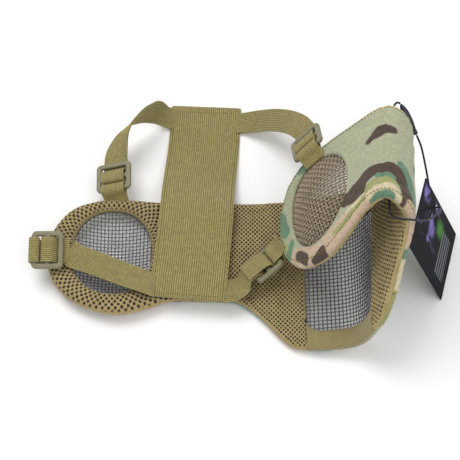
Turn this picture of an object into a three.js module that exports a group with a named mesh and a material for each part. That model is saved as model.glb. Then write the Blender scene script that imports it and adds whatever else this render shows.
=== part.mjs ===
// A foldable half-face mask with ear protection, lying on a table the way it is put down:
// its left ear cup flat with the lining up, the mouth in the middle, and the right half curled
// up and folded back over.  Millimetres, +Z up, the table at z = 0.
//
// The mask is drawn as a flat pattern (u along the band from the middle of the mouth, v across
// it towards the nose, w through its thickness towards the face) and bent onto `rulings`.
import * as THREE from 'three';
import { mergeVertices } from 'three/addons/utils/BufferGeometryUtils.js';

// ---- driving dimensions --------------------------------------------------------------
const FOLD = 126; // u of both fold lines
const EAR = { u: 190, v: -9 }; // middle of an ear cup
const WINDOW = { u: 31, v: 37 }; // half size of the steel window in an ear cup
const MOUTH = { half: 38, low: -76, high: 14 }; // steel window over the mouth
const TUCK = 5; // how far steel mesh reaches under the cloth around it
const GAP = 0.3; // clearance between pieces that touch
const FOLD_GAP = 1; // open line between the front and an ear cup, where the band folds
const LAYERS = {
  shell: [-4.4, -3.2],
  mesh: [-1.4, -0.4],
  foam: [-2.7, 1.0],
  lining: [1.5, 4.6],
};
const DOME = 9; // how far an ear mesh bulges out of its cup
const FOAM_INSET = 2; // foam stops this far inside the sewn edge
const RING_STEPS = 36; // facets round an ear ring
const DOME_STEPS = 28; // facets round an ear mesh
const WEB = { width: 20, thick: 1.3 }; // strap webbing
const GLIDE = { across: 30, along: 25, thick: 3.4, bar: 4, slot: 21.5 };
const PAD = { width: 59, thick: 2.0 };
const TAG = { width: 62, height: 78, thick: 0.7, hole: 4, holeIn: 6, holeUp: 47 };
const STRING = 1.6;

// ---- the bent band -------------------------------------------------------------------
// Each ruling: where the line v = 0 is at that u, and which way v runs there.
const rulings = [
  { u: -242, at: [-145, 0, 10.6], up: [0, 1, 0] },
  { u: -190, at: [-93, 0, 10.6], up: [0, 1, 0] },
  { u: -150, at: [-53, 0, 7.4], up: [0, 1, 0] },
  { u: -125, at: [-28, 0, 4.8], up: [0, 1, 0] },
  { u: -108, at: [-11, 0, 4.4], up: [0, 1, 0] },
  { u: -80, at: [17, 0, 4.4], up: [0, 1, 0] },
  { u: -60, at: [37, 0, 4.6], up: [0, 1, 0] },
  { u: -38, at: [59, 0, 5.8], up: [0, 1, 0] },
  { u: 0, at: [94, 0, 15], up: [0, 1, 0] },
  { u: 38, at: [111, 0, 45], up: [0.04, 1, 0.04] },
  { u: 69, at: [124, 6, 73], up: [0.03, 0.99, -0.03] },
  { u: 95, at: [132, 17, 96], up: [0.06, 0.985, -0.08] },
  { u: 122, at: [117, 28, 108], up: [0.09, 0.985, -0.13] },
  { u: 150, at: [96, 25, 91], up: [0.03, 0.985, -0.16] },
  { u: 190, at: [67, 13, 63], up: [-0.04, 0.985, -0.17] },
  { u: 242, at: [40, 2, 26], up: [-0.06, 0.985, -0.17] },
];

// A smooth value at x through stations of rising position (cubic Hermite, central slopes).
function smooth(x, positions, values) {
  const last = positions.length - 1;
  let i = 0;
  while (i < last - 1 && x > positions[i + 1]) i += 1;
  const slope = (k) => {
    const a = Math.max(k - 1, 0);
    const b = Math.min(k + 1, last);
    return (values[b] - values[a]) / (positions[b] - positions[a]);
  };
  const h = positions[i + 1] - positions[i];
  const t = (x - positions[i]) / h;
  if (t < 0) return values[0] + slope(0) * (x - positions[0]);
  if (t > 1) return values[last] + slope(last) * (x - positions[last]);
  const t2 = t * t;
  const t3 = t2 * t;
  return (2 * t3 - 3 * t2 + 1) * values[i] + (t3 - 2 * t2 + t) * h * slope(i)
    + (3 * t2 - 2 * t3) * values[i + 1] + (t3 - t2) * h * slope(i + 1);
}

const stations = rulings.map((r) => r.u);
const axes = [0, 1, 2];
const vectorAt = (u, key) => new THREE.Vector3(
  ...axes.map((k) => smooth(u, stations, rulings.map((r) => r[key][k]))),
);

function frameAt(u) {
  const step = 0.5;
  const middle = vectorAt(u, 'at');
  const up = vectorAt(u, 'up').normalize();
  const along = vectorAt(u + step, 'at').sub(vectorAt(u - step, 'at')).normalize();
  const inward = new THREE.Vector3().crossVectors(along, up).normalize();
  return { middle, up, along, inward };
}

function bend(u, v, w) {
  const { middle, up, inward } = frameAt(u);
  return middle.addScaledVector(up, v).addScaledVector(inward, w);
}

// ---- the flat pattern ----------------------------------------------------------------
const jawLine = [[0, -93], [38, -92], [50, -89], [60, -80], [75, -63], [92, -51], [FOLD, -50]];
const browLine = [[0, 44], [60, 39], [FOLD, 38]];
const edge = (line, u) => smooth(Math.abs(u), line.map((p) => p[0]), line.map((p) => p[1]));
const jaw = (u) => edge(jawLine, u);
const brow = (u) => edge(browLine, u);

// Outline of an ear cup from the neck round its back, as (u, v) for the right side.
const cupOutline = new THREE.CatmullRomCurve3([
  [FOLD, 38], [150, 37], [176, 38], [202, 37], [224, 28], [238, 8], [241, -12], [236, -34],
  [222, -51], [202, -61], [182, -64], [160, -58], [143, -51], [FOLD, -50], [FOLD, -6],
].map(([u, v]) => new THREE.Vector3(u, v, 0)), true, 'centripetal');

// ---- geometry helpers ----------------------------------------------------------------
// Moves every vertex of a closed geometry with place(x, y, z), welds it, and turns it outward.
function warp(geometry, place) {
  const uv = geometry.getAttribute('uv');
  const position = geometry.getAttribute('position');
  for (let i = 0; i < position.count; i += 1) {
    const p = place(position.getX(i), position.getY(i), position.getZ(i), uv.getX(i), uv.getY(i));
    position.setXYZ(i, p.x, p.y, p.z);
  }
  geometry.deleteAttribute('uv');
  geometry.deleteAttribute('normal');
  const solid = mergeVertices(geometry, 1e-3);
  const index = solid.index.array;
  const corner = (k) => new THREE.Vector3().fromBufferAttribute(solid.getAttribute('position'), k);
  let volume = 0;
  for (let i = 0; i < index.length; i += 3) {
    const [a, b, c] = [corner(index[i]), corner(index[i + 1]), corner(index[i + 2])];
    volume += a.dot(b.cross(c));
  }
  if (volume < 0) {
    for (let i = 0; i < index.length; i += 3) [index[i], index[i + 1]] = [index[i + 1], index[i]];
  }
  solid.computeVertexNormals();
  return solid;
}

// A piece of the band between two values of u and two edge functions of u.
function panel([u0, u1], low, high, [w0, w1], [nu, nv]) {
  return warp(new THREE.BoxGeometry(1, 1, 1, nu, nv, 1), (x, y, z) => {
    const u = THREE.MathUtils.lerp(u0, u1, x + 0.5);
    const v = THREE.MathUtils.lerp(low(u), high(u), y + 0.5);
    return bend(u, v, THREE.MathUtils.lerp(w0, w1, z + 0.5));
  });
}

// A flat ring of an ear cup: an oval hole, and the cup outline drawn in by `inset`.
function cupRing(side, hole, [w0, w1], inset = 0) {
  const across = 3; // steps from hole to outline
  const section = 2 * across + 2;
  return warp(new THREE.TorusGeometry(1, 0.4, section, RING_STEPS), (x, y, z, around, round) => {
    const outer = cupOutline.getPoint(around % 1);
    outer.x = Math.max(outer.x, FOLD + FOLD_GAP);
    const angle = Math.atan2((outer.y - EAR.v) / hole.v, (outer.x - EAR.u) / hole.u);
    const inner = new THREE.Vector3(
      EAR.u + hole.u * Math.cos(angle), EAR.v + hole.v * Math.sin(angle), 0,
    );
    outer.addScaledVector(outer.clone().sub(inner).normalize(), -inset);
    const k = Math.round(round * section) % section;
    const top = k > across;
    const reach = top ? (section - 1 - k) / across : k / across;
    const p = inner.lerp(outer, reach);
    return bend(side * p.x, p.y, top ? w1 : w0);
  });
}

// The domed steel mesh of an ear cup, with a flat rim under the cloth.
function earDome(side) {
  const rim = 1 + TUCK / WINDOW.u;
  const [low, high] = LAYERS.mesh;
  const radii = [0, 0.3, 0.55, 0.75, 0.9, 1, rim];
  const sag = (r) => -DOME * Math.max(0, 1 - r * r);
  const profile = [
    ...radii.map((r) => new THREE.Vector2(r, low + sag(r))),
    ...radii.slice().reverse().map((r) => new THREE.Vector2(r, high + sag(r))),
  ];
  return warp(new THREE.LatheGeometry(profile, DOME_STEPS), (x, y, z) => (
    bend(side * (EAR.u + x * WINDOW.u), EAR.v + z * WINDOW.v, y)
  ));
}

// A strip of webbing along points, each with the direction of its width there.
function ribbon(points, width, thick, steps) {
  const line = new THREE.CatmullRomCurve3(points.map((p) => new THREE.Vector3(...p.at)));
  const sides = new THREE.CatmullRomCurve3(points.map((p) => new THREE.Vector3(...p.across)));
  return warp(new THREE.BoxGeometry(1, 1, 1, steps, 2, 1), (x, y, z) => {
    const t = x + 0.5;
    const across = sides.getPoint(t).normalize();
    const face = new THREE.Vector3().crossVectors(line.getTangent(t), across).normalize();
    return line.getPoint(t).addScaledVector(across, y * width).addScaledVector(face, z * thick);
  });
}

// A strip of webbing seen from its edge: a centre line (along, up) given width across.
function hairpin(centreLine, width, thick, steps) {
  const curve = new THREE.CatmullRomCurve3(
    centreLine.map(([a, n]) => new THREE.Vector3(0, a, n)), false, 'centripetal',
  );
  const across = new THREE.Vector3(1, 0, 0);
  return warp(new THREE.BoxGeometry(1, 1, 1, steps, 1, 1), (x, y, z) => {
    const t = x + 0.5;
    const face = new THREE.Vector3().crossVectors(across, curve.getTangent(t)).normalize();
    return curve.getPoint(t).addScaledVector(across, y * width).addScaledVector(face, z * thick);
  });
}

// ---- materials -----------------------------------------------------------------------
const cloth = (color) => new THREE.MeshStandardMaterial({ color, roughness: 0.9 });
const materials = {
  camo: cloth(0xa9b393),
  lining: cloth(0xad9f73),
  twill: cloth(0x9a8f63),
  foam: cloth(0x6f6a55),
  web: cloth(0xa0945c),
  padWeb: cloth(0xa89f60),
  glide: new THREE.MeshStandardMaterial({ color: 0x77725a, roughness: 0.45 }),
  steel: new THREE.MeshStandardMaterial({ color: 0x9a9a98, roughness: 0.4, metalness: 0.8 }),
  tanSteel: new THREE.MeshStandardMaterial({ color: 0x8c7f6a, roughness: 0.55, metalness: 0.3 }),
  card: new THREE.MeshStandardMaterial({ color: 0x15161c, roughness: 0.5 }),
};

const mask = new THREE.Group();

function add(name, geometry, material, parent = mask) {
  const mesh = new THREE.Mesh(geometry, material);
  mesh.name = name;
  parent.add(mesh);
  return mesh;
}

// ---- front: mouth, cheeks, nose and chin ----------------------------------------------
const inside = (line, by) => (u) => line(u) + by;
const flat = (v) => () => v;
const { half, low, high } = MOUTH;

add('mouth_mesh', panel([-half - TUCK, half + TUCK], flat(low - TUCK), flat(high + TUCK),
  LAYERS.mesh, [14, 5]), materials.steel);

for (const [name, side] of [['left', -1], ['right', 1]]) {
  const span = (from, to) => (side > 0 ? [from, to] : [-to, -from]);
  const steps = [side > 0 ? 14 : 8, 4];
  const beside = half + GAP;
  add(`${name}_cheek_shell`, panel(span(beside, FOLD), jaw, brow, LAYERS.shell, steps),
    materials.camo);
  add(`${name}_cheek_foam`, panel(span(half + TUCK + GAP, FOLD), inside(jaw, FOAM_INSET),
    inside(brow, -FOAM_INSET), LAYERS.foam, steps), materials.foam);
  add(`${name}_cheek_lining`, panel(span(beside, FOLD), jaw, brow, LAYERS.lining, steps),
    materials.lining);
}

const noseFrom = flat(high);
const chinTo = flat(low);
add('nose_shell', panel([-half, half], noseFrom, brow, LAYERS.shell, [8, 1]), materials.camo);
add('nose_lining', panel([-half, half], noseFrom, brow, LAYERS.lining, [8, 1]), materials.lining);
add('nose_foam', panel([-half, half], flat(high + TUCK + GAP), inside(brow, -FOAM_INSET),
  LAYERS.foam, [8, 1]), materials.foam);
add('chin_shell', panel([-half, half], jaw, chinTo, LAYERS.shell, [8, 1]), materials.camo);
add('chin_strip', panel([-half, half], jaw, chinTo, LAYERS.lining, [8, 1]), materials.twill);

// ---- ear cups ------------------------------------------------------------------------
for (const [name, side, steel] of [['left', -1, 'steel'], ['right', 1, 'tanSteel']]) {
  const underRim = { u: WINDOW.u + TUCK + GAP * 2, v: WINDOW.v + TUCK + GAP * 6 };
  add(`${name}_ear_shell`, cupRing(side, WINDOW, LAYERS.shell), materials.camo);
  add(`${name}_ear_foam`, cupRing(side, underRim, LAYERS.foam, FOAM_INSET), materials.foam);
  add(`${name}_ear_ring`, cupRing(side, WINDOW, [LAYERS.lining[0], LAYERS.lining[1] + 1]),
    materials.lining);
  add(`${name}_ear_mesh`, earDome(side), materials[steel]);
}

// ---- tri-glides, each with its tab and the end of its strap ---------------------------
function glideFrame() {
  const { across, along, thick, bar, slot } = GLIDE;
  const corner = 3;
  const [x, y] = [across / 2, along / 2];
  const outline = new THREE.Shape();
  outline.moveTo(-x + corner, -y);
  outline.lineTo(x - corner, -y);
  outline.absarc(x - corner, -y + corner, corner, -Math.PI / 2, 0);
  outline.absarc(x - corner, y - corner, corner, 0, Math.PI / 2);
  outline.absarc(-x + corner, y - corner, corner, Math.PI / 2, Math.PI);
  outline.absarc(-x + corner, -y + corner, corner, Math.PI, 1.5 * Math.PI);
  for (const side of [-1, 1]) {
    const [near, far] = [side * (bar / 2), side * (y - bar)];
    const hole = new THREE.Path();
    hole.moveTo(-slot / 2, near);
    hole.lineTo(slot / 2, near);
    hole.lineTo(slot / 2, far);
    hole.lineTo(-slot / 2, far);
    outline.holes.push(hole);
  }
  const solid = new THREE.ExtrudeGeometry(outline, {
    depth: thick, bevelEnabled: false, curveSegments: 3,
  });
  solid.translate(0, 0, -thick / 2);
  return warp(solid, (px, py, pz) => new THREE.Vector3(px, py, pz));
}

// The strap comes in under one outer bar, over the middle one, and turns back under itself.
const strapEndLine = [[17, -2.8], [13, -2.8], [8.8, -2.7], [5.8, 0.2], [3.6, 2.8], [0, 3.4],
  [-3.6, 2.8], [-4.7, 0], [-3.4, -3.2], [2, -4.8], [8, -4.9], [17, -4.8]];
// The tab goes round the other bar, straight from the cup or tucked back under the glide.
const tabLines = {
  straight: [[-16.2, -2], [-14.7, 1.2], [-13, 3], [-10.5, 3.3], [-7, 1.8], [-6.7, 0], [-7, -1.8],
    [-10.5, -3.1], [-13.6, -3.2], [-16.2, -4.2]],
  tucked: [[-4, -13.6], [-11, -9], [-14.2, -2], [-13.4, 2], [-10.5, 3.1], [-7, 1.8], [-6.7, 0],
    [-7, -1.8], [-9.6, -3.4], [-10.4, -6], [-4, -11.2]],
};

function glide(name, tab, at, across, along) {
  const x = new THREE.Vector3(...across).normalize();
  const z = x.clone().cross(new THREE.Vector3(...along)).normalize();
  const y = z.clone().cross(x);
  const group = new THREE.Group();
  group.applyMatrix4(new THREE.Matrix4().makeBasis(x, y, z).setPosition(...at));
  add(`${name}_glide`, glideFrame(), materials.glide, group);
  add(`${name}_tab`, hairpin(tabLines[tab], WEB.width, WEB.thick, 22), materials.web, group);
  add(`${name}_strap_end`, hairpin(strapEndLine, WEB.width, WEB.thick, 30), materials.web, group);
  mask.add(group);
}

glide('top_left', 'straight', [-94, 56, 18.5], [0.94, 0, 0.34], [0, 1, 0.1]);
glide('rear_left', 'tucked', [-142, -15, 25], [0, -0.95, -0.3], [1, -0.1, 0]);
glide('top_right', 'straight', [60, 61, 61], [0.69, 0.33, 0.65], [-0.085, 0.925, -0.37]);
glide('rear_right', 'straight', [26.6, -25.4, 20.8], [0.38, -0.79, 0.47], [-0.77, -0.55, -0.32]);

// ---- straps between the glides and the back pad ----------------------------------------
const straps = {
  top_left_strap: [
    { at: [-52, 124, 6], across: [0, 1, 0.2] },
    { at: [-60, 123, 14], across: [0.1, 0.75, 0.7] },
    { at: [-67, 117, 22], across: [0.1, 0.2, 1] },
    { at: [-74, 110, 27], across: [0, -0.25, 1] },
    { at: [-80, 103, 29], across: [0.1, -0.5, 0.87] },
    { at: [-85, 96, 27], across: [0.35, -0.45, 0.8] },
    { at: [-90, 87, 22], across: [0.75, -0.3, 0.6] },
    { at: [-93, 77, 17.5], across: [0.94, 0, 0.34] },
  ],
  bottom_left_strap: [
    { at: [-66, -40, 20], across: [0.25, 0.95, 0] },
    { at: [-85, -33, 21], across: [0.25, 0.95, 0.05] },
    { at: [-105, -25, 22], across: [0.22, 0.95, 0.15] },
    { at: [-122, -18, 22], across: [0.12, 0.95, 0.3] },
  ],
  top_right_strap: [
    { at: [13, 119, 5], across: [0.1, 1, 0.1] },
    { at: [24, 115, 13], across: [0.25, 0.9, 0.3] },
    { at: [36, 107, 26], across: [0.4, 0.8, 0.45] },
    { at: [48, 96, 39], across: [0.6, 0.6, 0.6] },
    { at: [56, 85, 48], across: [0.69, 0.33, 0.65] },
  ],
  bottom_right_strap: [
    { at: [-2, -46, 14.5], across: [0.1, -1, 0] },
    { at: [4, -44, 14.5], across: [0.2, -0.95, 0.1] },
    { at: [10, -39, 14.5], across: [0.3, -0.9, 0.3] },
  ],
};
for (const [name, points] of Object.entries(straps)) {
  add(name, ribbon(points, WEB.width, WEB.thick, 14), materials.web);
}

const padLine = [
  { at: [-20, 137, 1.3], across: [1, -0.12, 0] },
  { at: [-22, 95, 1.6], across: [1, -0.13, 0] },
  { at: [-25, 60, 7], across: [1, -0.15, 0] },
  { at: [-26, 38, 15], across: [1, -0.15, 0] },
  { at: [-28, 5, 17], across: [1, -0.15, 0] },
  { at: [-31, -30, 17], across: [1, -0.16, 0] },
  { at: [-33, -53, 16], across: [1, -0.16, 0] },
];
add('back_pad', ribbon(padLine, PAD.width, PAD.thick, 16), materials.padWeb);

// ---- hang tag on its string --------------------------------------------------------------
const tagFoot = new THREE.Vector3(173, -16.5, 0.4);
const tagAcross = new THREE.Vector3(0.27, 0.963, 0);
const tagRise = new THREE.Vector3(-0.42, 0.118, 0.9).normalize();
const tagShape = new THREE.Shape();
tagShape.moveTo(-TAG.width / 2, 0);
tagShape.lineTo(TAG.width / 2, 0);
tagShape.lineTo(TAG.width / 2, TAG.height);
tagShape.lineTo(-TAG.width / 2, TAG.height);
const tagHole = new THREE.Path();
tagHole.absarc(TAG.width / 2 - TAG.holeIn, TAG.holeUp, TAG.hole / 2, 0, 2 * Math.PI);
tagShape.holes.push(tagHole);
const tag = new THREE.Group();
tag.applyMatrix4(new THREE.Matrix4().makeBasis(tagAcross, tagRise, tagAcross.clone().cross(tagRise))
  .setPosition(tagFoot));
const card = new THREE.ExtrudeGeometry(tagShape, {
  depth: TAG.thick, bevelEnabled: false, curveSegments: 6,
});
add('hang_tag', warp(card, (x, y, z) => new THREE.Vector3(x, y, z)), materials.card, tag);
mask.add(tag);

// The string is one loop, cut where the seal clamps its two ends: from the foot of the seal
// through the tag's hole, under the jaw edge, up inside the fold and over the brow edge.
const stringRoute = [
  [143.3, 55.1, 80], [147, 49, 74], [151, 38, 63], [155, 23, 50], [157.4, 13.8, 41.4],
  [162.6, 12.4, 44], [161, 4, 53], [154, -10, 70], [145, -26, 90], [136, -34, 102],
  [129, -37, 109], [121.5, -37, 110], [115.5, -30, 105], [115.4, -15, 102.5], [118, 15, 99],
  [120.5, 44, 95.5], [123, 64, 94], [125, 71, 98], [127.5, 73, 101], [129.6, 71, 99.6],
];
const stringLine = new THREE.CatmullRomCurve3(
  stringRoute.map((p) => new THREE.Vector3(...p)), false, 'centripetal',
);
const section = new THREE.Shape();
section.absarc(0, 0, STRING / 2, 0, 2 * Math.PI);
const string = new THREE.ExtrudeGeometry(section, {
  steps: 80, curveSegments: 8, bevelEnabled: false, extrudePath: stringLine,
});
add('tag_string', warp(string, (x, y, z) => new THREE.Vector3(x, y, z)), materials.card);

const sealTop = new THREE.Vector3(130, 70.5, 99);
const sealFoot = new THREE.Vector3(143, 55.5, 80.5);
const sealLength = sealTop.distanceTo(sealFoot);
const sealProfile = [[0, 0], [1.6, 0], [1.8, 5], [2.8, 11], [3, 20], [2, 24], [0.9, sealLength],
  [0, sealLength]].map(([r, h]) => new THREE.Vector2(r, h));
const seal = new THREE.Group();
seal.quaternion.setFromUnitVectors(
  new THREE.Vector3(0, 1, 0), sealTop.clone().sub(sealFoot).normalize(),
);
seal.position.copy(sealFoot);
add('string_seal', warp(new THREE.LatheGeometry(sealProfile, 12),
  (x, y, z) => new THREE.Vector3(x, y, z)), materials.card, seal);
mask.add(seal);

export default mask;
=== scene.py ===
"""A foldable camouflage half-face mask with ear protection, lying folded on a table.

Everything soft is laid out on the mask's flat pattern (u along the band from the middle of the
mouth, v towards the nose, w through the thickness towards the face, all in millimetres) and bent
onto the same rulings as the CAD model.
"""
import math

import bpy
import numpy as np
from mathutils import Matrix, Vector


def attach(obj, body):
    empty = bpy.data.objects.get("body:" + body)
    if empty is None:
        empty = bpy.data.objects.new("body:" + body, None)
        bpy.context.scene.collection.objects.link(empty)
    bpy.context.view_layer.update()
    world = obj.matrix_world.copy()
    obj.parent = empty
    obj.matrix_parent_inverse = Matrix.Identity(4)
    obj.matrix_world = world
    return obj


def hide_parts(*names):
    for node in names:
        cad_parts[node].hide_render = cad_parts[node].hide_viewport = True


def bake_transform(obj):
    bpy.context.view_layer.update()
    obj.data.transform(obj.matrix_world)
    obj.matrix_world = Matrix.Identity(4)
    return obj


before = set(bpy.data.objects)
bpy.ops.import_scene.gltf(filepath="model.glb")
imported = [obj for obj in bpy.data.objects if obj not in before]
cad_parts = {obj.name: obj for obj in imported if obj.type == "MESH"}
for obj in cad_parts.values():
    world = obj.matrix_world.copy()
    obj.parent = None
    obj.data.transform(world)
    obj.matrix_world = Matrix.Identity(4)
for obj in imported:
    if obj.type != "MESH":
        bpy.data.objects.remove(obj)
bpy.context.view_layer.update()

MM = 0.001
FOLD = 126.5  # u of both fold lines
EAR = (190.0, -9.0)
WINDOW = (31.0, 37.0)
MOUTH = {"half": 38.0, "low": -76.0, "high": 14.0, "corner": 11.0}
DOME = 9.0
SHELL_W, LINING_W, RING_W, STEEL_W = -4.4, 4.6, 5.9, -0.9
WEB_WIDTH, WEB_THICK = 20.0, 1.3
STRING = 1.6
PICTURE_WIDTH = 460


def show(name, data):
    """A new object in the scene."""
    item = bpy.data.objects.new(name, data)
    bpy.context.collection.objects.link(item)
    return item


def make_camera():
    """A long lens about a metre away, looking steeply down at the mask."""
    elevation, distance, m_per_pixel = math.radians(60), 1.0, 0.00078
    target = Vector((0, 0, 0.030))
    data = bpy.data.cameras.new("camera")
    data.sensor_width = 36
    data.lens = data.sensor_width * distance / m_per_pixel / PICTURE_WIDTH
    camera = show("camera", data)
    back = Vector((0, -math.cos(elevation), math.sin(elevation)))
    camera.location = target + back * distance
    camera.rotation_euler = back.to_track_quat("Z", "Y").to_euler()
    bpy.context.scene.camera = camera


make_camera()

# ---- colours and materials


def paint(hex_code):
    """A linear colour from an sRGB code such as 'A0945C'."""
    levels = [int(hex_code[i:i + 2], 16) / 255 for i in (0, 2, 4)]
    return [c / 12.92 if c <= 0.04045 else ((c + 0.055) / 1.055) ** 2.4 for c in levels]


def tone(hex_code, factor):
    """A linear colour made darker or lighter."""
    return [min(1, c * factor) for c in paint(hex_code)]


class Nodes:
    """A small helper that adds shader nodes and links them."""

    def __init__(self, name):
        self.material = bpy.data.materials.new(name)
        self.material.use_nodes = True
        self.tree = self.material.node_tree
        self.shader = self.tree.nodes["Principled BSDF"]

    def add(self, kind, **settings):
        node = self.tree.nodes.new(kind)
        for key, value in settings.items():
            setattr(node, key, value)
        return node

    def put(self, value, socket):
        if isinstance(value, bpy.types.NodeSocket):
            self.tree.links.new(value, socket)
        else:
            socket.default_value = value

    def math(self, operation, a, b=0.0, c=0.0):
        node = self.add("ShaderNodeMath", operation=operation)
        for value, socket in zip((a, b, c), node.inputs):
            self.put(value, socket)
        return node.outputs[0]

    def times(self, a, b):
        return self.math("MULTIPLY", a, b)

    def plus(self, a, b):
        return self.math("ADD", a, b)

    def remap(self, value, low, high, to_low=0.0, to_high=1.0):
        node = self.add("ShaderNodeMapRange", interpolation_type="SMOOTHSTEP")
        for given, socket in zip((value, low, high, to_low, to_high), node.inputs):
            self.put(given, socket)
        return node.outputs[0]

    def mix(self, amount, a, b, blend="MIX"):
        node = self.add("ShaderNodeMix", data_type="RGBA", blend_type=blend)
        self.put(amount, node.inputs[0])
        for value, socket in ((a, node.inputs[6]), (b, node.inputs[7])):
            self.put(value if isinstance(value, bpy.types.NodeSocket) else (*value, 1), socket)
        return node.outputs[2]

    def flat(self):
        """The flat-pattern coordinates of a piece, in millimetres, from its UV map."""
        uv = self.add("ShaderNodeUVMap", uv_map="flat")
        parts = self.add("ShaderNodeSeparateXYZ")
        self.put(uv.outputs[0], parts.inputs[0])
        return [self.times(parts.outputs[k], 1 / MM) for k in (0, 1)]

    def noise(self, scale, detail=3.0, distortion=0.0):
        where = self.add("ShaderNodeTexCoord").outputs["Object"]
        node = self.add("ShaderNodeTexNoise")
        self.put(where, node.inputs["Vector"])
        for key, value in (("Scale", scale), ("Detail", detail), ("Distortion", distortion)):
            node.inputs[key].default_value = value
        return node.outputs["Fac"]

    def wave(self, value, pitch, shift=0.0):
        """cos of value with the given pitch, from -1 to 1."""
        turned = self.math("MULTIPLY_ADD", value, 2 * math.pi / pitch, shift)
        return self.math("COSINE", turned)

    def bump(self, height, strength, distance):
        node = self.add("ShaderNodeBump")
        node.inputs["Strength"].default_value = strength
        node.inputs["Distance"].default_value = distance
        self.put(height, node.inputs["Height"])
        self.put(node.outputs[0], self.shader.inputs["Normal"])

    def finish(self, color, roughness, **plain):
        value = color if isinstance(color, bpy.types.NodeSocket) else (*color, 1)
        self.put(value, self.shader.inputs["Base Color"])
        self.put(roughness, self.shader.inputs["Roughness"])
        for key, amount in plain.items():
            self.shader.inputs[key.replace("_", " ").title()].default_value = amount
        return self.material


def make_camo():
    """Printed twill: the print is a colour attribute, the weave is fine diagonal ribs."""
    n = Nodes("camo_cloth")
    u, v = n.flat()
    print_color = n.add("ShaderNodeAttribute", attribute_name="print").outputs["Color"]
    diagonal = n.wave(n.plus(u, v), 1.3)
    cross = n.wave(n.math("SUBTRACT", u, v), 1.1)
    weave = n.math("MULTIPLY_ADD", diagonal, 0.6, n.times(cross, 0.4))
    grain = n.noise(420, 4)
    shade = n.remap(n.plus(n.times(weave, 0.12), grain), 0.2, 0.8)
    color = n.mix(1.0, print_color, n.mix(shade, (0.8, 0.8, 0.79), (1.08, 1.08, 1.06)), "MULTIPLY")
    n.bump(n.plus(weave, n.times(grain, 2.0)), 0.35, 0.00018)
    return n.finish(color, 0.85, sheen_weight=0.15)


def make_air_mesh(name, light, dark, cell):
    """Spacer mesh: pale knitted loops round staggered holes, painted dark as the shade inside them.
    """
    n = Nodes(name)
    u, v = n.flat()
    a, b = cell
    holes = n.times(n.wave(u, 2 * a), n.wave(v, 2 * b))
    threads = n.wave(n.plus(u, n.times(v, a / b)), 0.55)
    uneven = n.math("MULTIPLY_ADD", n.noise(260, 2), 0.7, -0.35)
    sewn = n.add("ShaderNodeAttribute", attribute_name="sewn").outputs["Fac"]
    hole = n.times(n.remap(n.plus(holes, uneven), 0.0, 0.45), sewn)
    patchy = n.remap(n.noise(60, 3), 0.35, 0.7)
    pale = n.mix(patchy, paint(light), tone(light, 0.82))
    strand = n.mix(n.remap(threads, -1, 1, 0.0, 0.35), pale, tone(light, 0.6))
    # painted shade: the holes take the dark colour, standing for the shade down inside the knit
    color = n.mix(hole, strand, paint(dark))
    height = n.math("MULTIPLY_ADD", threads, 0.08, n.times(hole, -1.0))
    n.bump(height, 0.8, 0.0008)
    return n.finish(color, 0.8, sheen_weight=0.2)


def make_webbing(name, color_code, rib, bead, strength=0.6):
    """Woven webbing: ribs along its length (v across, u along), beaded by the cross threads, with
    painted shade in the grooves.
    """
    n = Nodes(name)
    u, v = n.flat()
    ribs = n.wave(v, rib)
    beads = n.times(n.wave(u, bead), n.wave(v, 2 * rib))
    weave = n.math("MULTIPLY_ADD", beads, 0.55, ribs)
    grain = n.noise(350, 4)
    # painted shade: where the weave is low, in the grooves between ribs and beads, the colour
    # darkens to 0.38
    deep = n.remap(weave, -1.4, 0.6)
    crown = n.mix(n.remap(grain, 0.3, 0.7), tone(color_code, 0.82), tone(color_code, 1.12))
    color = n.mix(deep, tone(color_code, 0.38), crown)
    n.bump(n.math("MULTIPLY_ADD", grain, 0.6, weave), strength, 0.0005)
    return n.finish(color, 0.75, sheen_weight=0.2)


def make_twill(name, color_code):
    n = Nodes(name)
    u, v = n.flat()
    zigzag = n.math("PINGPONG", u, 5.0)
    lines = n.wave(n.plus(zigzag, v), 2.0)
    grain = n.noise(300, 4)
    weave = n.plus(lines, grain)
    # painted shade: the twill's grooves darken towards 0.42 of its colour, mixed with random grain
    # tone
    color = n.mix(n.remap(weave, -0.2, 1.2), tone(color_code, 0.42), paint(color_code))
    n.bump(weave, 0.5, 0.0003)
    return n.finish(color, 0.85, sheen_weight=0.25)


def make_steel(name, color_code, metallic, rough, dirt_code):
    n = Nodes(name)
    spots = n.remap(n.noise(900, 3), 0.42, 0.62)
    color = n.mix(n.times(spots, 0.45), paint(color_code), paint(dirt_code))
    n.bump(n.noise(1500, 2), 0.15, 0.0001)
    return n.finish(color, n.remap(n.noise(500), 0.3, 0.7, rough - 0.08, rough + 0.12),
                    metallic=metallic)


def make_plastic(name, color_code, rough):
    n = Nodes(name)
    cloudy = n.noise(140, 4)
    color = n.mix(n.remap(cloudy, 0.35, 0.65), tone(color_code, 0.85), paint(color_code))
    n.bump(n.noise(1800, 2), 0.25, 0.00008)
    return n.finish(color, n.remap(cloudy, 0.3, 0.7, rough - 0.05, rough + 0.08))


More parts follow.
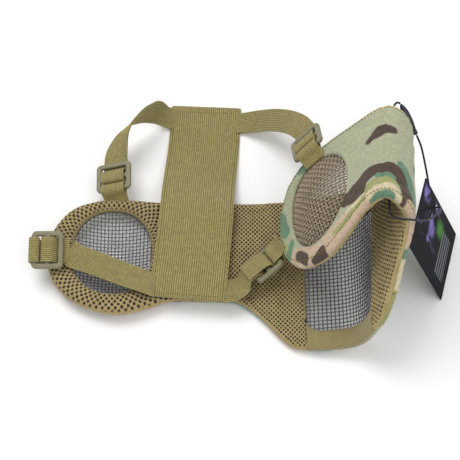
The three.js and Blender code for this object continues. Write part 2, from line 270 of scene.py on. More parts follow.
def make_card():
    """Black coated card with soft abstract shapes: a violet sweep, a green glow, grey bars."""
    n = Nodes("card")
    u, v = n.flat()
    cloud = n.remap(n.noise(45, 6, 1.5), 0.47, 0.62)

    def stripe(value, low, high, soft):
        rise = n.remap(value, low - soft, low + soft)
        fall = n.remap(value, high - soft, high + soft, 1.0, 0.0)
        return n.times(rise, fall)

    picture = n.times(stripe(u, -8, 27, 3), stripe(v, 30, 75, 3))
    color = n.mix(n.times(picture, cloud), paint("0E0F15"), paint("8478BE"))
    glow = n.times(stripe(u, 8, 20, 4), stripe(v, 26, 38, 4))
    color = n.mix(n.times(glow, 0.8), color, paint("4E8A3C"))
    bars = n.remap(n.wave(v, 4.0), -0.1, 0.1)
    block = n.times(stripe(u, -20, 18, 0.3), stripe(v, 8, 26, 0.3))
    color = n.mix(n.times(n.times(block, bars), 0.6), color, paint("8C8F96"))
    n.shader.inputs["Specular IOR Level"].default_value = 0.06
    return n.finish(color, 0.55)


RING_RADIUS = 42.0
RING_HOLES = 66
CELLS = {  # half the pitch of an air mesh's holes, across and along
    "lining": (1.75, 1.9),
    "ring": (math.pi * RING_RADIUS / RING_HOLES, 2.7),
}
materials = {
    "camo": make_camo(),
    "lining": make_air_mesh("air_mesh", "B3A06A", "3A2C12", CELLS["lining"]),
    "ring": make_air_mesh("air_mesh_ring", "B09C68", "33270F", CELLS["ring"]),
    "twill": make_twill("twill", "A89966"),
    "web": make_webbing("strap_webbing", "A3965A", 20 / 13, 1.9, 0.45),
    "pad": make_webbing("pad_webbing", "AC9F5E", 59 / 34, 2.2, 0.7),
    "steel": make_steel("bare_steel", "77777A", 0.85, 0.26, "343230"),
    "tan_steel": make_steel("tan_steel", "A2937D", 0.15, 0.5, "4A3D30"),
    "glide": make_plastic("glide_plastic", "827C60", 0.42),
    "string": make_plastic("string_black", "1A1B28", 0.6),
    "seal": make_plastic("seal_black", "23242E", 0.3),
    "thread": make_plastic("thread", "8A7D48", 0.8),
    "card": make_card(),
}

# ---- the bent band
RULINGS = (  # u, where v = 0 is there, which way v runs there
    (-242, (-145, 0, 10.6), (0, 1, 0)),
    (-190, (-93, 0, 10.6), (0, 1, 0)),
    (-150, (-53, 0, 7.4), (0, 1, 0)),
    (-125, (-28, 0, 4.8), (0, 1, 0)),
    (-108, (-11, 0, 4.4), (0, 1, 0)),
    (-80, (17, 0, 4.4), (0, 1, 0)),
    (-60, (37, 0, 4.6), (0, 1, 0)),
    (-38, (59, 0, 5.8), (0, 1, 0)),
    (0, (94, 0, 15), (0, 1, 0)),
    (38, (111, 0, 45), (0.04, 1, 0.04)),
    (69, (124, 6, 73), (0.03, 0.99, -0.03)),
    (95, (132, 17, 96), (0.06, 0.985, -0.08)),
    (122, (117, 28, 108), (0.09, 0.985, -0.13)),
    (150, (96, 25, 91), (0.03, 0.985, -0.16)),
    (190, (67, 13, 63), (-0.04, 0.985, -0.17)),
    (242, (40, 2, 26), (-0.06, 0.985, -0.17)),
)
RULING_U = np.array([r[0] for r in RULINGS], float)
RULING_AT = np.array([r[1] for r in RULINGS], float)
RULING_UP = np.array([r[2] for r in RULINGS], float)


def hermite(t, start, end, leave, arrive):
    """A cubic from start to end as t runs from 0 to 1, with the given end slopes."""
    return ((2 * t**3 - 3 * t**2 + 1) * start + (t**3 - 2 * t**2 + t) * leave
            + (3 * t**2 - 2 * t**3) * end + (t**3 - t**2) * arrive)


def smooth(x, places, values):
    """A smooth value at each x through stations of rising place (cubic Hermite)."""
    slopes = np.empty_like(values)
    slopes[1:-1] = (values[2:] - values[:-2]) / (places[2:] - places[:-2])[:, None]
    slopes[0] = (values[1] - values[0]) / (places[1] - places[0])
    slopes[-1] = (values[-1] - values[-2]) / (places[-1] - places[-2])
    i = np.clip(np.searchsorted(places, x, side="right") - 1, 0, len(places) - 2)
    h = (places[i + 1] - places[i])[:, None]
    t = ((x - places[i]) / h[:, 0])[:, None]
    between = hermite(t, values[i], values[i + 1], h * slopes[i], h * slopes[i + 1])
    before = values[0] + slopes[0] * (x - places[0])[:, None]
    after = values[-1] + slopes[-1] * (x - places[-1])[:, None]
    return np.where(t < 0, before, np.where(t > 1, after, between))


def unit(vectors):
    return vectors / np.linalg.norm(vectors, axis=-1, keepdims=True)


def bend(u, v, w):
    """Flat-pattern points in millimetres to points on the bent band, in metres."""
    u, v, w = (np.asarray(k, float).ravel() for k in np.broadcast_arrays(u, v, w))
    up = unit(smooth(u, RULING_U, RULING_UP))
    along = unit(smooth(u + 0.5, RULING_U, RULING_AT) - smooth(u - 0.5, RULING_U, RULING_AT))
    inward = unit(np.cross(along, up))
    middle = smooth(u, RULING_U, RULING_AT)
    return (middle + up * v[:, None] + inward * w[:, None]) * MM


# ---- the flat pattern
HALF_OUTLINE = np.array([  # from the chin along the jaw edge, round the ear cup, to the nose
    (0, -93), (38, -92), (50, -89), (60, -80), (75, -63), (92, -51), (110, -50), (126, -50),
    (143, -51), (160, -58), (182, -64), (202, -61), (222, -51), (236, -34), (241, -12), (238, 8),
    (224, 28), (202, 37), (176, 38), (150, 37), (126, 38), (90, 38), (60, 39), (30, 42), (0, 44),
], float)


def spline(points, steps):
    """A centripetal Catmull-Rom line through 2-D or 3-D points."""
    points = np.asarray(points, float)
    padded = np.vstack([2 * points[0] - points[1], points, 2 * points[-1] - points[-2]])
    t = (np.arange(steps) / steps)[:, None]
    out = []
    for a, b, c, d in zip(padded, padded[1:], padded[2:], padded[3:]):
        span = math.sqrt(np.linalg.norm(c - b)) or 1.0
        before = math.sqrt(np.linalg.norm(b - a)) or span
        after = math.sqrt(np.linalg.norm(d - c)) or span
        leave = ((b - a) / before - (c - a) / (before + span) + (c - b) / span) * span
        arrive = ((c - b) / span - (d - b) / (span + after) + (d - c) / after) * span
        out.append(hermite(t, b, c, leave, arrive))
    return np.vstack(out + [points[-1:]])


def to_edges(points, line, closed):
    """Distance from each point to a polyline, and the nearest point on it."""
    a = line
    b = np.roll(line, -1, axis=0)
    if not closed:
        a, b = a[:-1], b[:-1]
    best = np.full(len(points), np.inf)
    near = np.zeros_like(points)
    for start in range(0, len(points), 6000):
        part = points[start:start + 6000]
        ab = b - a
        t = np.einsum("pse,se->ps", part[:, None] - a[None], ab) / np.maximum((ab**2).sum(1), 1e-9)
        foot = a[None] + np.clip(t, 0, 1)[..., None] * ab[None]
        gap = np.linalg.norm(part[:, None] - foot, axis=2)
        k = gap.argmin(1)
        rows = np.arange(len(part))
        best[start:start + 6000] = gap[rows, k]
        near[start:start + 6000] = foot[rows, k]
    return best, near


def inside(points, loop):
    """True for each point inside a closed loop (even-odd rule)."""
    x, y = points[:, 0], points[:, 1]
    result = np.zeros(len(points), bool)
    for (x0, y0), (x1, y1) in zip(loop, np.roll(loop, -1, axis=0)):
        if y0 == y1:
            continue
        crosses = (y0 > y) != (y1 > y)
        result ^= crosses & (x < (x1 - x0) * (y - y0) / (y1 - y0) + x0)
    return result


def clipped_grid(loop, holes, spacing):
    """Points and quads of a square grid inside a loop and outside its holes."""
    low, high = loop.min(0) - spacing, loop.max(0) + spacing
    us = np.arange(low[0], high[0] + spacing, spacing)
    vs = np.arange(low[1], high[1] + spacing, spacing)
    points = np.stack(np.meshgrid(us, vs, indexing="ij"), -1).reshape(-1, 2)
    gap, near = to_edges(points, loop, True)
    within = inside(points, loop)
    for hole in holes:
        hole_gap, hole_near = to_edges(points, hole, True)
        closer = hole_gap < gap
        gap = np.where(closer, hole_gap, gap)
        near[closer] = hole_near[closer]
        within &= ~inside(points, hole)
    signed = np.where(within, gap, -gap)
    usable = signed > -1.05 * spacing
    points = np.where((signed < 0.35 * spacing)[:, None], near, points)
    rows = len(vs)
    corner = np.arange(len(us) - 1)[:, None] * rows + np.arange(rows - 1)[None]
    quads = np.stack([corner, corner + rows, corner + rows + 1, corner + 1], -1).reshape(-1, 4)
    keep = usable[quads].all(1) & (signed[quads] > 0.35 * spacing).any(1)
    quads = quads[keep]
    used = np.unique(quads)
    renumber = np.zeros(len(points), int)
    renumber[used] = np.arange(len(used))
    return points[used], renumber[quads]


def oval(center, radii, power=2.2, count=96):
    """A slightly square oval loop."""
    angle = np.linspace(0, 2 * math.pi, count, endpoint=False)
    c, s = np.cos(angle), np.sin(angle)
    k = 2 / power
    return np.stack([center[0] + radii[0] * np.sign(c) * np.abs(c)**k,
                     center[1] + radii[1] * np.sign(s) * np.abs(s)**k], -1)


def rounded_box(low, high, radius):
    loop = []
    corners = ((high[0], low[1], -90), (high[0], high[1], 0), (low[0], high[1], 90),
               (low[0], low[1], 180))
    for x, y, start in corners:
        cx = x - math.copysign(radius, x - (low[0] + high[0]) / 2)
        cy = y - math.copysign(radius, y - (low[1] + high[1]) / 2)
        for angle in np.radians(np.linspace(start, start + 90, 9)):
            loop.append((cx + radius * math.cos(angle), cy + radius * math.sin(angle)))
    return np.array(loop)


HALF_EDGE = spline(HALF_OUTLINE, 8)
EAR_LOOP = oval(EAR, WINDOW)
MOUTH_LOOP = rounded_box((-MOUTH["half"], MOUTH["low"]), (MOUTH["half"], MOUTH["high"]),
                         MOUTH["corner"])

# ---- mesh making


def set_flat(mesh, places, wrap=0.0):
    """Stores flat-pattern places, in mm, as a UV map; a knit that runs round repeats at wrap."""
    corners = np.zeros(len(mesh.loops), int)
    mesh.loops.foreach_get("vertex_index", corners)
    places = np.asarray(places)[corners]
    if wrap:
        quads = places[:, 0].reshape(-1, 4)
        quads += wrap * (quads.max(1, keepdims=True) - quads > wrap / 2)
    mesh.uv_layers.new(name="flat").data.foreach_set("uv", (places * MM).ravel())


def new_object(name, points, faces, material, flat=None, wrap=0.0):
    mesh = bpy.data.meshes.new(name)
    mesh.from_pydata([tuple(p) for p in points], [], [tuple(f) for f in faces])
    mesh.polygons.foreach_set("use_smooth", [True] * len(mesh.polygons))
    if flat is not None:
        set_flat(mesh, flat, wrap)
    mesh.materials.append(material)
    piece = show(name, mesh)
    mesh.update()
    return piece


def declare(piece, body, nodes):
    """Parents a piece to the body it rides on, or, when it is given a blend instead, bakes its
    transform where it stands; hides its CAD nodes.
    """
    if isinstance(body, str):
        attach(piece, body)
    else:
        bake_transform(piece)
    if nodes:
        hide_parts(*nodes)


def tube_faces(rows, around, start=0, flip=False):
    """Quads and end caps of a tube of point rings, numbered on from `start`."""
    k = np.arange(around)
    ring = start + np.arange(rows - 1)[:, None] * around
    after = (k + 1) % around
    quads = np.stack([ring + k, ring + after, ring + around + after, ring + around + k], -1)
    last = start + (rows - 1) * around
    faces = [*map(tuple, quads.reshape(-1, 4)), tuple(start + k[::-1]), tuple(last + k)]
    return [(face[0], *face[:0:-1]) for face in faces] if flip else faces


def run_length(line):
    """Distance along a line of points in metres, in mm."""
    return np.concatenate([[0], np.cumsum(np.linalg.norm(np.diff(line, axis=0), axis=1))]) / MM


def rolled(gap, edge_w, face_w, radius):
    """Height of a padded face whose edge rolls over with the given radius."""
    k = np.clip(gap / radius, 0, 1)
    return edge_w + (face_w - edge_w) * np.sqrt(np.maximum(0, 1 - (1 - k)**2))


def cut(loop, axis, limit, sign):
    """The part of a closed loop above (sign 1) or below (-1) a constant u (axis 0) or v (1)."""
    out = []
    for a, b in zip(loop, np.roll(loop, -1, axis=0)):
        near, far = sign * (a[axis] - limit), sign * (b[axis] - limit)
        if near >= 0:
            out.append(a)
        if (near >= 0) != (far >= 0):
            out.append(a + (b - a) * near / (near - far))
    return np.array(out)


def band(loop, u_range, v_range=(-200, 200)):
    """A closed loop trimmed to a range of u and of v."""
    for axis, (low, high) in ((0, u_range), (1, v_range)):
        loop = cut(cut(loop, axis, low, 1), axis, high, -1)
    return loop


def soft_face(spacing, loop, holes, face_w, edges, waves=None):
    """Flat points, bent points and quads of a padded face that rolls over at its edges.

    Each edge is (line, closed, height at the edge, radius of the roll)."""
    flat, quads = clipped_grid(loop, holes, spacing)
    w = np.full(len(flat), float(face_w))
    lower = np.minimum if face_w > 0 else np.maximum
    nearest = np.full(len(flat), np.inf)
    for line, closed, edge_w, radius in edges:
        gap, _ = to_edges(flat, line, closed)
        w = lower(w, rolled(gap, edge_w, face_w, radius))
        nearest = np.minimum(nearest, gap)
    if waves is not None:
        w = w + waves(flat, nearest)
    return flat, bend(flat[:, 0], flat[:, 1], w), quads


def thicken(piece, thickness):
    """Gives a sheet its thickness, behind the face that shows."""
    solid = piece.modifiers.new("thickness", "SOLIDIFY")
    solid.thickness = thickness * MM
    solid.offset = -1


FLOOR = 0.0007  # the cloth lies on the table and never goes through it, in metres


def above_floor(points):
    return np.column_stack([points[:, :2], np.maximum(points[:, 2], FLOOR)])


SIM_STEP = 4.0  # spacing of the simulated sheets
SIM_FRAMES = 20
SIM_CAP = 1.6  # cloth over foam moves no further than this
SIM_CLOTH = {
    "quality": 8, "mass": 0.1, "tension_stiffness": 15, "compression_stiffness": 15,
    "bending_stiffness": 0.05, "shrink_min": -0.05, "use_pressure": True,
    "uniform_pressure_force": 4, "vertex_group_mass": "sewn",
}


def edge_gap(flat, edges):
    """Distance from each flat point to the nearest edge."""
    return np.min([to_edges(flat, line, closed)[0] for line, closed, _, _ in edges], axis=0)


def settle(loop, holes, face_w, edges, hold):
    """How cloth puffs and wrinkles over its foam, as coarse flat points and their movement.

    A slightly too large sheet, held within `hold` of its sewn edges, is blown out from behind."""
    flat, rest, quads = soft_face(SIM_STEP, loop, holes, face_w, edges)
    sheet = new_object("settling", rest, quads if face_w > 0 else quads[:, ::-1],
                       materials["thread"])
    gap = edge_gap(flat, edges)
    sewn = sheet.vertex_groups.new(name="sewn")
    sewn.add([int(k) for k in np.flatnonzero(gap < hold)], 1.0, "REPLACE")
    cloth = sheet.modifiers.new("cloth", "CLOTH")
    for key, value in SIM_CLOTH.items():
        setattr(cloth.settings, key, value)
    cloth.settings.effector_weights.gravity = 0
    cloth.point_cache.frame_end = SIM_FRAMES
    for number in range(1, SIM_FRAMES + 1):
        bpy.context.scene.frame_set(number)
    settled = sheet.evaluated_get(bpy.context.evaluated_depsgraph_get()).to_mesh()
    after = np.zeros(len(settled.vertices) * 3)
    settled.vertices.foreach_get("co", after)
    move = after.reshape(-1, 3) - rest
    bpy.data.objects.remove(sheet)
    bpy.context.scene.frame_set(1)
    size = np.linalg.norm(move, axis=1, keepdims=True) / MM
    return flat, move * SIM_CAP / (SIM_CAP + size)


def spread(flat, coarse, move):
    """The coarse sheet's movement at each flat point, from its four nearest points."""
    out = np.empty((len(flat), 3))
    for start in range(0, len(flat), 4000):
        part = flat[start:start + 4000]
        gap = np.linalg.norm(part[:, None] - coarse[None], axis=2)
        near = np.argpartition(gap, 4, axis=1)[:, :4]
        weight = 1 / (np.take_along_axis(gap, near, 1) + 0.3)**2
        weight /= weight.sum(1, keepdims=True)
        out[start:start + 4000] = (move[near] * weight[..., None]).sum(1)
    return out


def smoothstep(x, low, high):
    t = np.clip((x - low) / (high - low), 0, 1)
    return t * t * (3 - 2 * t)


def around_center(flat, center):
    """Coordinates (round, out) for a knit that runs round an ear."""
    reach = flat - np.array(center)
    return np.stack([np.arctan2(reach[:, 1], reach[:, 0]) * RING_RADIUS,
                     np.hypot(reach[:, 0], reach[:, 1])], 1)


def mesh_holes(cell, depth, center=None):
    """Dents of the air mesh's holes, fading out at the sewn edge."""
    a, b = cell

    def waves(flat, gap):
        knit = around_center(flat, center) if center else flat
        product = np.cos(np.pi * knit[:, 0] / a) * np.cos(np.pi * knit[:, 1] / b)
        puff = 0.25 * np.sin(flat[:, 0] / 9 + 1.3 * np.sin(flat[:, 1] / 14))
        return puff - depth * smoothstep(product, 0.0, 0.6) * smoothstep(gap, 0.8, 2.5)
    return waves


def cloth_ripples(flat, gap):
    """Slight unevenness of stretched cloth, its stitched line and its crease at a fold."""
    u, v = flat.T
    ripple = 0.22 * np.sin(u / 11 + 1.7 * np.sin(v / 17)) + 0.15 * np.sin(v / 7 + u / 23)
    pucker = 0.3 * np.sin(0.95 * u + 0.55 * v) * np.exp(-gap / 6) * smoothstep(gap, 0.5, 3)
    seam = 0.45 * np.exp(-((gap - SEAM) / 0.8)**2)
    crease = np.exp(-((np.abs(u) - FOLD) / 2)**2)
    return ripple * smoothstep(gap, 2, 12) + pucker + seam + crease


SEAM = 4.2  # the stitched line's distance from the rolled edge

# ---- the print
SAGE, BROWN, TEAL = paint("A6AA8D"), paint("4A392F"), paint("62856A")
LIME, CREAM, TAN = paint("9A9C66"), paint("CFC2A2"), paint("C2AB94")
PRINT = (  # colour, half width and line of each patch on the right half, later ones on top
    (TAN, 10.0, ((143, -54), (152, -53), (176, -58), (200, -58), (222, -46))),
    (CREAM, 3.4, ((143, -44), (150, -45), (158, -47))),
    (LIME, 2.6, ((132, -42), (144, -46), (156, -50), (172, -55))),
    (CREAM, 3.4, ((212, -58), (228, -50), (236, -38))),
    (TEAL, 4.4, ((112, -21), (104, -26), (99, -38))),
    (BROWN, 5.7, ((160, -34), (150, -33), (141, -29), (131, -26), (120, -27), (112, -32),
                  (107, -41), (106, -50))),
    (BROWN, 8.2, ((153, -34), (147, -33))),
    (TEAL, 2.4, ((129, -32), (122, -32), (118, -34))),
    (LIME, 3.6, ((139, -41), (131, -37.5), (122, -37.5), (117, -41))),
    (CREAM, 3.2, ((138, -46), (127, -43.5), (118, -44), (113, -52))),
    (TEAL, 4.6, ((136, -53), (128, -50.5), (120, -52))),
    (BROWN, 2.8, ((137, 4.5), (133, 8))),
    (BROWN, 4.6, ((132, 8.5), (126, 12), (120, 11.5))),
    (BROWN, 4.8, ((128, 11), (123, 12))),
    (CREAM, 6.0, ((112, 40), (124, 39.5), (142, 39))),
    (BROWN, 4.2, ((217, -44), (208, -54))),
    (BROWN, 4.6, ((198, -62), (188, -60))),
    (TEAL, 5.0, ((225, -29), (232, -40))),
    (TEAL, 6.0, ((236, 4), (230, -12))),
    (LIME, 5.0, ((240, -14), (236, -26))),
    (TAN, 5.5, ((102, -47), (92, -47), (83, -54))),
    (TEAL, 3.4, ((79, -52), (75, -60))),
    (CREAM, 5.0, ((70, -64), (64, -72))),
    (LIME, 5.0, ((58, -78), (46, -88))),
    (BROWN, 4.5, ((78, -30), (66, -18), (60, -2))),
    (TAN, 7.0, ((86, 6), (74, 18), (58, 22))),
    (TEAL, 6.0, ((92, -8), (84, -28), (88, -44))),
    (CREAM, 3.5, ((70, 30), (56, 34))),
    (LIME, 6.0, ((50, -40), (56, -58))),
    (BROWN, 3.6, ((46, 16), (48, -8), (44, -24))),
    (TEAL, 5.0, ((202, 32), (186, 34))),
    (LIME, 6.5, ((30, 30), (10, 24), (-12, 28))),
    (BROWN, 3.8, ((-4, 38), (18, 34), (24, 22))),
    (TAN, 4.5, ((20, -84), (0, -86), (-20, -82))),
    (TEAL, 3.5, ((-34, -88), (-24, -92))),
)


LEFT_PRINT = (  # patches of the left half, on top of the shifted repeat
    (TAN, 9.0, ((-150, -54), (-178, -64), (-206, -62), (-232, -40))),
    (CREAM, 6.0, ((-236, -30), (-242, -6))),
    (LIME, 7.0, ((-236, 14), (-218, 34), (-196, 38))),
    (TEAL, 6.0, ((-96, -52), (-74, -66))),
    (TAN, 7.0, ((-60, -82), (-44, -92))),
)


REPEAT = 300  # the left half shows the right half's print, shifted this far along the band


def print_colors(flat, mirror):
    """The camouflage print at each flat point."""
    u, v = flat.T
    if mirror:
        u, v = REPEAT + u, v * 0.9 + 8
    wobble_u = 0.7 * np.sin(0.23 * v + 1.1 * np.sin(0.17 * u))
    wobble_v = 0.7 * np.sin(0.21 * u + 1.3 * np.sin(0.15 * v))
    points = np.stack([u + wobble_u, v + wobble_v], 1)
    colors = np.tile(SAGE, (len(flat), 1))
    pale = smoothstep(np.sin(u / 19 + np.sin(v / 13)), 0.2, 0.9)[:, None] * 0.25
    colors = colors * (1 - pale) + np.array(paint("B1B092")) * pale
    patches = [(patch, points) for patch in PRINT]
    if mirror:
        patches += [(patch, flat) for patch in LEFT_PRINT]
    for (color, half_width, line), where in patches:
        gap, _ = to_edges(where, spline(line, 5), False)
        share = smoothstep(half_width - gap, -0.35, 0.35)[:, None]
        colors = colors * (1 - share) + np.array(color) * share
    return colors


def set_print(piece, colors):
    layer = piece.data.color_attributes.new("print", "FLOAT_COLOR", "POINT")
    rgba = np.concatenate([colors, np.ones((len(colors), 1))], 1)
    layer.data.foreach_set("color", rgba.ravel())


# ---- cords first: the tag's string and its seal
STRING_ROUTE = (  # from the seal's foot through the tag, under the jaw and out over the brow
    (0.1433, 0.0551, 0.0800), (0.1470, 0.0490, 0.0740), (0.1510, 0.0380, 0.0630),
    (0.1550, 0.0230, 0.0500), (0.1574, 0.0138, 0.0414), (0.1626, 0.0124, 0.0440),
    (0.1610, 0.0040, 0.0530), (0.1540, -0.0100, 0.0700), (0.1450, -0.0260, 0.0900),
    (0.1360, -0.0340, 0.1020), (0.1290, -0.0370, 0.1090), (0.1215, -0.0370, 0.1100),
    (0.1155, -0.0300, 0.1050), (0.1154, -0.0150, 0.1025), (0.1180, 0.0150, 0.0990),
    (0.1205, 0.0440, 0.0955), (0.1230, 0.0640, 0.0940), (0.1247, 0.0697, 0.0973),
    (0.1269, 0.0714, 0.1001), (0.1296, 0.0710, 0.0996),
)
SEAL_FOOT, SEAL_TOP = Vector((0.1430, 0.0555, 0.0805)), Vector((0.1300, 0.0705, 0.0990))


def make_string():
    line = spline(STRING_ROUTE, 8)
    curve = bpy.data.curves.new("tag_string_cord", "CURVE")
    curve.dimensions = "3D"
    curve.bevel_depth = STRING / 2 * MM
    curve.bevel_resolution = 4
    curve.use_fill_caps = True
    path = curve.splines.new("POLY")
    path.points.add(len(line) - 1)
    path.points.foreach_set("co", np.concatenate([line, np.ones((len(line), 1))], 1).ravel())
    curve.materials.append(materials["string"])
    return show("tag_string_cord", curve), run_length(line)[-1] * MM


def make_seal():
    """The turned bullet that closes the string's loop."""
    profile = spline(((1.0, 0), (1.7, 0.5), (1.9, 5), (2.8, 11), (3.0, 16), (2.9, 20), (2.1, 24),
                      (0.9, 27.2)), 4)
    around = 20
    angle = np.linspace(0, 2 * math.pi, around, endpoint=False)
    points = np.concatenate([
        np.stack([r * np.cos(angle), r * np.sin(angle), np.full(around, h)], -1) * MM
        for r, h in profile])
    piece = new_object("seal", points, tube_faces(len(profile), around), materials["seal"],
                       np.zeros((len(points), 2)))
    turn = (SEAL_TOP - SEAL_FOOT).to_track_quat("Z", "Y").to_matrix().to_4x4()
    piece.matrix_world = Matrix.Translation(SEAL_FOOT) @ turn
    return piece


string, string_length = make_string()
seal = make_seal()
declare(string, "front", ["tag_string"])
declare(seal, "front", ["string_seal"])

# ---- cloth shells, linings and padding
FULL_EDGE = np.vstack([HALF_EDGE, HALF_EDGE[::-1][1:-1] * [-1, 1]])
FOLD_LINES = {side: np.array([(side * FOLD, -60), (side * FOLD, 50)], float) for side in (-1, 1)}
FOLD_PLACES = {  # a point on each fold's axis, the axis, and the way from the front to the ear
    -1: ((-29.5, 0, 0.3), (0, 1, 0), (-1, 0, 0)),
    1: ((112, 29, 111.5), (0.08, 0.985, -0.135), (-1, 0, 0.6)),
}
FOLD_REACH = 4.5  # how far fold_span's two points lie to each side of a fold's axis


def fold_span(side):
    """Two points, FOLD_REACH to each side of a fold's axis, handed on with a piece's bodies."""
    at, axis, toward = (Vector(k) for k in FOLD_PLACES[side])
    axis.normalize()
    across = (toward - axis * toward.dot(axis)).normalized() * FOLD_REACH
    return (at - across) * MM, (at + across) * MM


SIDES = (("left", -1), ("right", 1))
CHEEK = (MOUTH["half"] + 0.15, FOLD - 0.6)
EDGE_GRIP = 0.3  # height at which the cloth and the lining meet in the sewn edge
MESH_GRIP = (-1.7, -0.2)  # heights at which cloth and lining grip a steel mesh
BEYOND_EAR = 260  # a u past the end of the band
CLOTH_STEP, CLOTH_THICK, LINING_STEP = 0.85, 0.6, 0.62


def signed_range(side, low, high):
    return sorted((side * low, side * high))


def mouth_seam(side):
    """The straight stretch of the mouth window's side, between its rounded corners."""
    low, high = MOUTH["low"] + MOUTH["corner"], MOUTH["high"] - MOUTH["corner"]
    return np.array([(side * CHEEK[0], low), (side * CHEEK[0], high)])


def make_cloth(name, loop, holes, edges, body, nodes, side=0):
    """A padded piece of outer cloth; that of a side is simulated."""
    flat, points, quads = soft_face(CLOTH_STEP, loop, holes, SHELL_W, edges, cloth_ripples)
    if side:
        points = points + spread(flat, *settle(loop, holes, SHELL_W, edges, SEAM + 2))
    piece = new_object(name, above_floor(points), quads[:, ::-1], materials["camo"], flat)
    set_print(piece, print_colors(flat, side < 0))
    thicken(piece, CLOTH_THICK)
    declare(piece, body, nodes)


def make_camo_half(name, side):
    """The outer cloth of one side, in one piece from the mouth to the back of the ear cup."""
    loop = band(FULL_EDGE, signed_range(side, CHEEK[0], BEYOND_EAR))
    hole = EAR_LOOP * [side, 1]
    edges = [(FULL_EDGE, True, EDGE_GRIP, 4.0), (hole, True, MESH_GRIP[0], 3.0),
             (mouth_seam(side), False, MESH_GRIP[0], 3.0)]
    make_cloth(f"{name}_camo", loop, [hole], edges, ("front", f"{name}_ear", *fold_span(side)),
               [f"{name}_cheek_shell", f"{name}_ear_shell"], side)


def set_sewn(piece, flat, edges):
    """Marks each point from 0 at the sewn edge to 1 just inside it, where holes begin."""
    layer = piece.data.attributes.new("sewn", "FLOAT", "POINT")
    faded = smoothstep(edge_gap(flat, edges), 0.5, 1.6)
    layer.data.foreach_set("value", faded.astype(np.float32))


def make_lining(name, loop, holes, face_w, edges, material, body, nodes, depth=0.9, center=None):
    """Air mesh over foam; with a centre, its knit runs round that point."""
    flat, points, quads = soft_face(LINING_STEP, loop, holes, face_w, edges,
                                    mesh_holes(CELLS[material], depth, center))
    wrap = 2 * math.pi * RING_RADIUS if center else 0.0
    knit = around_center(flat, center) if center else flat
    moved = spread(flat, *settle(loop, holes, face_w, edges, 2.5))
    piece = new_object(name, points + moved, quads, materials[material], knit, wrap)
    set_sewn(piece, flat, edges)
    thicken(piece, 0.45)
    declare(piece, body, nodes)


def make_cheek_lining(name, side):
    loop = band(FULL_EDGE, signed_range(side, *CHEEK))
    edges = [(FULL_EDGE, True, EDGE_GRIP, 4.5), (FOLD_LINES[side], False, 1.6, 3.0),
             (mouth_seam(side), False, MESH_GRIP[1], 4.0)]
    make_lining(f"{name}_cheek_padding", loop, [], LINING_W, edges, "lining", "front",
                [f"{name}_cheek_lining", f"{name}_cheek_foam"])


def make_ear_ring(name, side):
    loop = band(FULL_EDGE, signed_range(side, FOLD + 0.6, BEYOND_EAR))
    hole = EAR_LOOP * [side, 1]
    edges = [(FULL_EDGE, True, EDGE_GRIP, 7.0), (FOLD_LINES[side], False, 1.6, 4.0),
             (hole, True, MESH_GRIP[1], 8.0)]
    make_lining(f"{name}_ear_padding", loop, [hole], RING_W, edges, "ring", f"{name}_ear",
                [f"{name}_ear_ring", f"{name}_ear_foam"], 1.3, (side * EAR[0], EAR[1]))


def middle_loop(v_range):
    """The band above or below the mouth, and the window's edge with its rounded corners."""
    half = MOUTH["half"] + 0.1
    level = MOUTH["high" if v_range[0] > 0 else "low"]
    loop = np.roll(band(FULL_EDGE, (-half, half), v_range), -1, axis=0)
    mouth = np.roll(MOUTH_LOOP, len(MOUTH_LOOP) // 4, axis=0)
    mouth = mouth[np.abs(mouth[:, 1] - level) < MOUTH["corner"] + 0.1][::-1]
    straight = int(np.flatnonzero(np.abs(loop[:, 1] - level) < 1e-6)[0])
    return np.vstack([loop[:straight], mouth, loop[straight + 2:]]), mouth


def make_middle(name, v_range, shell_node, inner_nodes):
    """The cloth and the inner face above or below the mouth, between the two cheeks."""
    loop, mouth = middle_loop(v_range)
    edges = [(FULL_EDGE, True, EDGE_GRIP, 4.0), (mouth, False, MESH_GRIP[0], 3.0)]
    make_cloth(f"{name}_camo", loop, [], edges, "front", [shell_node])
    edges[1] = (mouth, False, MESH_GRIP[1], 4.0)
    if name == "nose":
        make_lining("nose_padding", loop, [], LINING_W, edges, "lining", "front", inner_nodes)
        return
    flat, points, quads = soft_face(1.0, loop, [], LINING_W - 0.8, edges, cloth_ripples)
    strip = new_object(f"{name}_binding", points, quads, materials["twill"], flat)
    thicken(strip, 0.5)
    declare(strip, "front", inner_nodes)


for name, side in SIDES:
    make_camo_half(name, side)
    make_cheek_lining(name, side)
    make_ear_ring(name, side)
make_middle("nose", (MOUTH["high"], 60), "nose_shell", ["nose_lining", "nose_foam"])
make_middle("chin", (-110, MOUTH["low"]), "chin_shell", ["chin_strip"])

# ---- woven steel


WIRE_SIDES = 6


